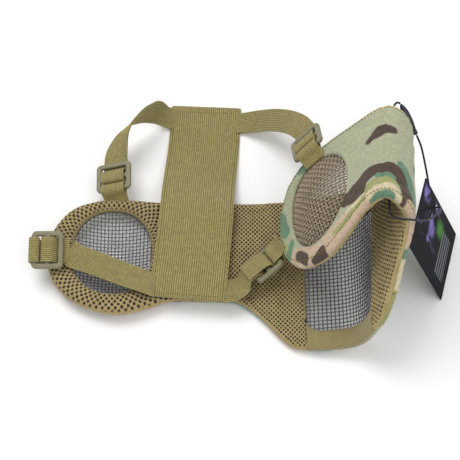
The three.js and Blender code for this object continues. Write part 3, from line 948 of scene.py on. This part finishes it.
def woven(name, loop, pitch, radius, height, steel, body, node):
    """Two sets of wires that pass over and under each other, bent with the band."""
    low, high = loop.min(0), loop.max(0)
    angles = np.linspace(0, 2 * math.pi, WIRE_SIDES, endpoint=False)
    points, faces, flats = [], [], []
    count = 0
    for axis, other in ((0, 1), (1, 0)):
        lines = np.arange(math.ceil(low[other] / pitch), math.floor(high[other] / pitch) + 1)
        for number in lines:
            trail = np.arange(low[axis], high[axis], pitch / 4)
            flat = np.empty((len(trail), 2))
            flat[:, axis] = trail
            flat[:, other] = number * pitch
            flat = flat[inside(flat, loop)]
            if len(flat) < 4:
                continue
            phase = 1 - 2 * ((number + axis) % 2)
            wave = radius * 0.95 * phase * np.cos(np.pi * flat[:, axis] / pitch)
            rings = np.repeat(flat[:, None], WIRE_SIDES, axis=1)
            rings[..., other] += radius * np.cos(angles)
            w = (height(flat) + wave)[:, None] + radius * np.sin(angles)
            points.append(bend(rings[..., 0], rings[..., 1], w))
            flats.append(rings.reshape(-1, 2))
            faces += tube_faces(len(flat), WIRE_SIDES, count, flip=axis == 1)
            count += len(flat) * WIRE_SIDES
    piece = new_object(name, np.concatenate(points), faces, materials[steel],
                       np.concatenate(flats))
    declare(piece, body, [node])


def ear_height(side):
    """The domed window of an ear cup: its height at flat points."""
    def height(flat):
        reach = (flat - [side * EAR[0], EAR[1]]) / WINDOW
        return STEEL_W - DOME * np.maximum(0, 1 - (reach**2).sum(1))
    return height


woven("mouth_weave", rounded_box((-42, -80), (42, 18), 12), 3.2, 0.44,
      lambda flat: np.full(len(flat), STEEL_W), "steel", "front", "mouth_mesh")
for name, side, steel, radius in (("left", -1, "steel", 0.43), ("right", 1, "tan_steel", 0.7)):
    rim = oval((side * EAR[0], EAR[1]), (WINDOW[0] + 4, WINDOW[1] + 4))
    woven(f"{name}_ear_weave", rim, 2.9, radius, ear_height(side), steel, f"{name}_ear",
          f"{name}_ear_mesh")

# ---- webbing


def ribbon_frame(line, across):
    """Width and face directions of webbing at each point of its line."""
    tangent = unit(np.gradient(line, axis=0))
    face = unit(np.cross(tangent, unit(across)))
    return unit(np.cross(face, tangent)), face


def ribbon(name, line, across, width, thick, ribs, material, lift=0.16, per_rib=4):
    """Webbing along a line of points (metres), ribbed along its length on both faces."""
    across, face = ribbon_frame(line, across)
    place = np.linspace(-0.5, 0.5, ribs * per_rib + 1)
    edge = np.sqrt(np.clip(1 - (np.abs(place) * 2)**24, 0, 1))
    half = (thick / 2 + lift * np.cos(2 * np.pi * place * ribs)) * np.maximum(edge, 0.15)

    def surface(place, height):
        return (line[:, None] + across[:, None] * (place * width * MM)[:, None]
                + face[:, None] * (height * MM)[:, None])

    loop = np.concatenate([surface(place, half), surface(place[::-1], -half[::-1])], axis=1)
    count = loop.shape[1]
    v = np.concatenate([place, place[::-1]]) * width
    flat = np.stack([np.repeat(run_length(line), count), np.tile(v, len(line))], -1)
    return new_object(name, loop.reshape(-1, 3), tube_faces(len(line), count, flip=True),
                      materials[material], flat)


STRAPS = {  # glide, then places in mm and which way the width runs there, from the pad's hem
    "top_left_strap": ("top_left", (
        ((-43, 124.5, 1.5), (0, 1, 0.05)), ((-52, 124, 5), (0, 1, 0.2)),
        ((-60, 123, 14), (0.1, 0.75, 0.7)), ((-67, 117, 22), (0.1, 0.2, 1)),
        ((-74, 110, 27), (0, -0.25, 1)), ((-80, 103, 29), (0.1, -0.5, 0.87)),
        ((-85, 96, 27), (0.35, -0.45, 0.8)), ((-90, 87, 22), (0.75, -0.3, 0.6)),
        ((-93, 77, 17.5), (0.94, 0, 0.34)))),
    "bottom_left_strap": ("rear_left", (
        ((-57, -42, 16.6), (0.25, 0.95, 0)), ((-66, -40, 20), (0.25, 0.95, 0)),
        ((-85, -33, 21), (0.25, 0.95, 0.05)), ((-105, -25, 22), (0.22, 0.95, 0.15)),
        ((-122, -18, 22), (0.12, 0.95, 0.3)))),
    "top_right_strap": ("top_right", (
        ((4, 120, 1.6), (0, 1, 0)), ((13, 119, 5), (0.1, 1, 0.1)),
        ((24, 115, 13), (0.25, 0.9, 0.3)), ((36, 107, 26), (0.4, 0.8, 0.45)),
        ((48, 96, 39), (0.6, 0.6, 0.6)), ((56, 85, 48), (0.69, 0.33, 0.65)))),
    "bottom_right_strap": ("rear_right", (
        ((-10, -46, 16), (0.1, -1, 0)), ((-2, -46, 15.2), (0.1, -1, 0)),
        ((4, -44, 14.5), (0.2, -0.95, 0.1)), ((10, -39, 14.5), (0.3, -0.9, 0.3)))),
}
PAD_WIDTH = 59
PAD_LINE = (((-20, 137, 1.3), (1, -0.12, 0)), ((-22, 95, 1.6), (1, -0.13, 0)),
            ((-25, 60, 7), (1, -0.15, 0)), ((-26, 38, 15), (1, -0.15, 0)),
            ((-28, 5, 17), (1, -0.15, 0)), ((-31, -30, 17), (1, -0.16, 0)),
            ((-33, -53, 16), (1, -0.16, 0)))


def route(stations, steps):
    """Points and width directions along the given stations, in metres."""
    line = spline([at for at, _ in stations], steps) * MM
    across = spline([way for _, way in stations], steps)
    return line, across


STITCH_PITCH, STITCH_LENGTH, STITCH_RADIUS = 3.0, 2.2, 0.32
STITCH_RINGS = ((0.0, 0.25), (0.18, 1.0), (0.82, 1.0), (1.0, 0.25))  # place along it, size
LEAN = (0.31, 0.22, 0.92)  # a direction that no row of stitches follows


def stitches(name, track, body):
    """A row of thread stitches along a line of points, in metres."""
    run = run_length(track)
    starts = np.arange(STITCH_PITCH / 2, run[-1] - STITCH_LENGTH, STITCH_PITCH)
    foot, head = (np.stack([np.interp(starts + add, run, track[:, k]) for k in range(3)], 1)
                  for add in (0, STITCH_LENGTH))
    way = unit(head - foot)
    side = unit(np.cross(way, LEAN))
    around = 6
    angles = np.linspace(0, 2 * math.pi, around, endpoint=False)[:, None]
    ring = side[:, None] * np.cos(angles) + np.cross(way, side)[:, None] * np.sin(angles)
    rings = [(foot + (head - foot) * share)[:, None] + STITCH_RADIUS * size * MM * ring
             for share, size in STITCH_RINGS]
    points = np.stack(rings, 1).reshape(-1, 3)
    faces = []
    for start in range(0, len(points), len(rings) * around):
        faces += tube_faces(len(rings), around, start)
    piece = new_object(name, points, faces, materials["thread"], np.zeros((len(points), 2)))
    declare(piece, body, [])


def make_pad():
    """The wide back pad, with stitches along its four hems."""
    line, across = route(PAD_LINE, 30)
    pad = ribbon("back_pad_webbing", line, across, PAD_WIDTH, 2.0, 34, "pad", 0.2, 3)
    declare(pad, "front", ["back_pad"])
    across, face = ribbon_frame(line, across)
    lifted = line + face * (1.0 + 0.1) * MM
    hem = PAD_WIDTH / 2 - 2.4
    places = np.linspace(-hem, hem, 20)[:, None] * MM
    for name, track in (
        ("left", lifted - across * hem * MM), ("right", lifted + across * hem * MM),
        ("top", lifted[4] + across[4] * places), ("foot", lifted[-5] + across[-5] * places),
    ):
        stitches(f"pad_{name}_stitches", track, "front")


make_pad()


def edge_stitches(name, side):
    """The stitched line that runs along the rolled edge of the outer cloth."""
    edge = HALF_EDGE[HALF_EDGE[:, 0] > 8]
    way = unit(np.gradient(edge, axis=0))
    track = edge + np.stack([-way[:, 1], way[:, 0]], 1) * (SEAM + 0.2)
    points = bend(side * track[:, 0], track[:, 1], np.full(len(track), SHELL_W - 0.05))
    stitches(f"{name}_edge_stitches", points, ("front", f"{name}_ear", *fold_span(side)))


for name, side in SIDES:
    edge_stitches(name, side)

# ---- tri-glides with their tabs and strap ends
# Webbing in a glide, seen from its edge: (along, up) from the glide's middle, in mm.
STRAP_END = ((17, -2.8), (13, -2.8), (8.8, -2.7), (5.8, 0.2), (3.6, 2.8), (0, 3.4), (-3.6, 2.8),
             (-4.7, 0), (-3.4, -3.2), (2, -4.8), (8, -4.9), (17, -4.8))
TABS = {
    "straight": ((-20.5, -6.5), (-16.2, -2), (-14.7, 1.2), (-13, 3), (-10.5, 3.3), (-7, 1.8),
                 (-6.7, 0), (-7, -1.8), (-10.5, -3.1), (-13.6, -3.2), (-16.2, -4.4),
                 (-20.5, -8.3)),
    "tucked": ((-4, -13.6), (-11, -9), (-14.2, -2), (-13.4, 2), (-10.5, 3.1), (-7, 1.8),
               (-6.7, 0), (-7, -1.8), (-9.6, -3.4), (-10.4, -6), (-4, -11.2)),
}
GLIDES = {  # tab, the body it hangs from, middle, width direction, direction of the strap
    "top_left": ("straight", "left_ear", (-94, 56, 18.5), (0.94, 0, 0.34), (0, 1, 0.1)),
    "rear_left": ("tucked", "left_ear", (-142, -15, 25), (0, -0.95, -0.3), (1, -0.1, 0)),
    "top_right": ("straight", "right_ear", (60, 61, 61), (0.69, 0.33, 0.65), (-0.085, 0.925, -0.37)),
    "rear_right": ("straight", "right_ear", (26.6, -25.4, 20.8), (0.38, -0.79, 0.47),
                   (-0.77, -0.55, -0.32)),
}
GLIDE = {"across": 30, "along": 25, "thick": 3.4, "bar": 4, "slot": 21.5}


def plate(name, loops, thick, rounding, material, matrix, segments=3):
    """A flat moulded piece with rounded edges from outlines in mm: the first, less the rest."""
    curve = bpy.data.curves.new(name, "CURVE")
    curve.dimensions = "2D"
    curve.fill_mode = "BOTH"
    curve.extrude = (thick / 2 - rounding) * MM
    curve.bevel_depth = rounding * MM
    curve.offset = -rounding * MM
    curve.bevel_resolution = segments
    for loop in loops:
        path = curve.splines.new("POLY")
        path.points.add(len(loop) - 1)
        for point, (x, y) in zip(path.points, loop):
            point.co = (x * MM, y * MM, 0, 1)
        path.use_cyclic_u = True
    source = show(name, curve)
    bpy.context.view_layer.update()
    mesh = bpy.data.meshes.new_from_object(source.evaluated_get(
        bpy.context.evaluated_depsgraph_get()))
    bpy.data.objects.remove(source)
    bpy.data.curves.remove(curve)
    mesh.name = name
    for layer in list(mesh.uv_layers):
        mesh.uv_layers.remove(layer)
    places = np.zeros(len(mesh.vertices) * 3)
    mesh.vertices.foreach_get("co", places)
    set_flat(mesh, places.reshape(-1, 3)[:, :2] / MM)
    mesh.materials.clear()
    mesh.materials.append(material)
    mesh.polygons.foreach_set("use_smooth", [False] * len(mesh.polygons))
    piece = show(name, mesh)
    piece.matrix_world = matrix
    return piece


def local_frame(across, along, at):
    """A matrix with x across, z = x cross along, placed at a point in mm."""
    x = Vector(across).normalized()
    z = x.cross(Vector(along)).normalized()
    y = z.cross(x)
    matrix = Matrix((x, y, z)).transposed().to_4x4()
    matrix.translation = Vector(at) * MM
    return matrix


def strap_joint(place):
    """Where a strap runs into the two layers of its turned end, inside the glide."""
    _, _, at, across, along = GLIDES[place]
    end = local_frame(across, along, at) @ (Vector((0, 15.5, -3.8)) * MM)
    return tuple(end / MM), across


def make_strap(name, place, stations):
    at, way = strap_joint(place)
    if Vector(way).dot(Vector(stations[-1][1])) < 0:
        way = tuple(-k for k in way)
    line, across = route(stations + ((at, way),), 9)
    strap = ribbon(f"{name}_webbing", line, across, WEB_WIDTH, WEB_THICK, 13, "web")
    ear = "right_ear" if "right" in name else "left_ear"
    declare(strap, ("front", ear, Vector(line[9]), Vector(line[-1])), [name])


for name, (place, stations) in STRAPS.items():
    make_strap(name, place, stations)


def hairpin(name, line, matrix):
    """Webbing along a line of (along, up) in a glide's own frame."""
    track = spline(line, 6)
    local = np.column_stack([np.zeros(len(track)), track * MM])
    rotation = np.array(matrix.to_3x3())
    world = local @ rotation.T + np.array(matrix.translation)
    across = np.tile(rotation[:, 0], (len(world), 1))
    return ribbon(name, world, across, WEB_WIDTH, WEB_THICK - 0.15, 13, "web", 0.14)


def make_glide(name, tab, ear, at, across, along):
    """A tri-glide, the strap end turned round its bar and the tab that holds it."""
    matrix = local_frame(across, along, at)
    x, y = GLIDE["across"] / 2, GLIDE["along"] / 2
    loops = [rounded_box((-x, -y), (x, y), 4)]
    for side in (-1, 1):
        near, far = sorted((side * GLIDE["bar"] / 2, side * (y - GLIDE["bar"])))
        loops.append(rounded_box((-GLIDE["slot"] / 2, near), (GLIDE["slot"] / 2, far), 1.2))
    glide = f"{name}_glide"
    moulding = plate(f"{glide}_moulding", loops, GLIDE["thick"], 1.2, materials["glide"], matrix)
    declare(moulding, glide, [glide])
    end = hairpin(f"{name}_strap_end_webbing", STRAP_END, matrix)
    declare(end, glide, [f"{name}_strap_end"])
    loop = hairpin(f"{name}_tab_webbing", TABS[tab], matrix)
    declare(loop, ear, [f"{name}_tab"])


for name, (tab, ear, at, across, along) in GLIDES.items():
    make_glide(name, tab, ear, at, across, along)

# ---- hang tag
TAG = {"width": 62, "height": 78, "thick": 0.7, "hole": 4, "hole_in": 6, "hole_up": 47}


def make_tag():
    """The hang tag, standing on one corner against the jaw, with its string's hole."""
    rise = Vector((-0.42, 0.118, 0.9)).normalized()
    across = Vector((0.27, 0.963, 0)).normalized()
    matrix = Matrix((across, rise, across.cross(rise))).transposed().to_4x4()
    matrix.translation = Vector((173, -16.5, 0.4)) * MM + across.cross(rise) * TAG["thick"] / 2 * MM
    half = TAG["width"] / 2
    hole = oval((half - TAG["hole_in"], TAG["hole_up"]), (TAG["hole"] / 2,) * 2, 2.0, 24)
    card = plate("tag_card", [rounded_box((-half, 0), (half, TAG["height"]), 1.0), hole],
                 TAG["thick"], 0.15, materials["card"], matrix, 1)
    declare(card, "tag", ["hang_tag"])


make_tag()

# ---- studio
LIGHTS = (("key", (-0.5, 0.5, 1.3), 0.9, 11), ("fill", (0.8, -0.6, 1.0), 1.2, 5))


def make_studio():
    """A pale floor under a bright even sky, with a large soft key light above and behind."""
    world = bpy.data.worlds.new("studio")
    world.use_nodes = True
    sky = world.node_tree.nodes["Background"]
    sky.inputs["Color"].default_value = (1, 1, 1, 1)
    sky.inputs["Strength"].default_value = 0.62
    bpy.context.scene.world = world
    bpy.context.scene.view_settings.view_transform = "Standard"
    floor_mesh = bpy.data.meshes.new("floor")
    floor_mesh.from_pydata([(-3, -3, 0), (3, -3, 0), (3, 3, 0), (-3, 3, 0)], [], [(0, 1, 2, 3)])
    floor_mesh.materials.append(Nodes("floor_white").finish(paint("FAFAFA"), 0.9))
    staged = [show("floor", floor_mesh)]
    for name, at, size, power in LIGHTS:
        data = bpy.data.lights.new(name, "AREA")
        data.size = size
        data.energy = power
        light = show(name, data)
        light.location = at
        light.rotation_euler = Vector(at).to_track_quat("Z", "Y").to_euler()
        staged.append(light)


make_studio()
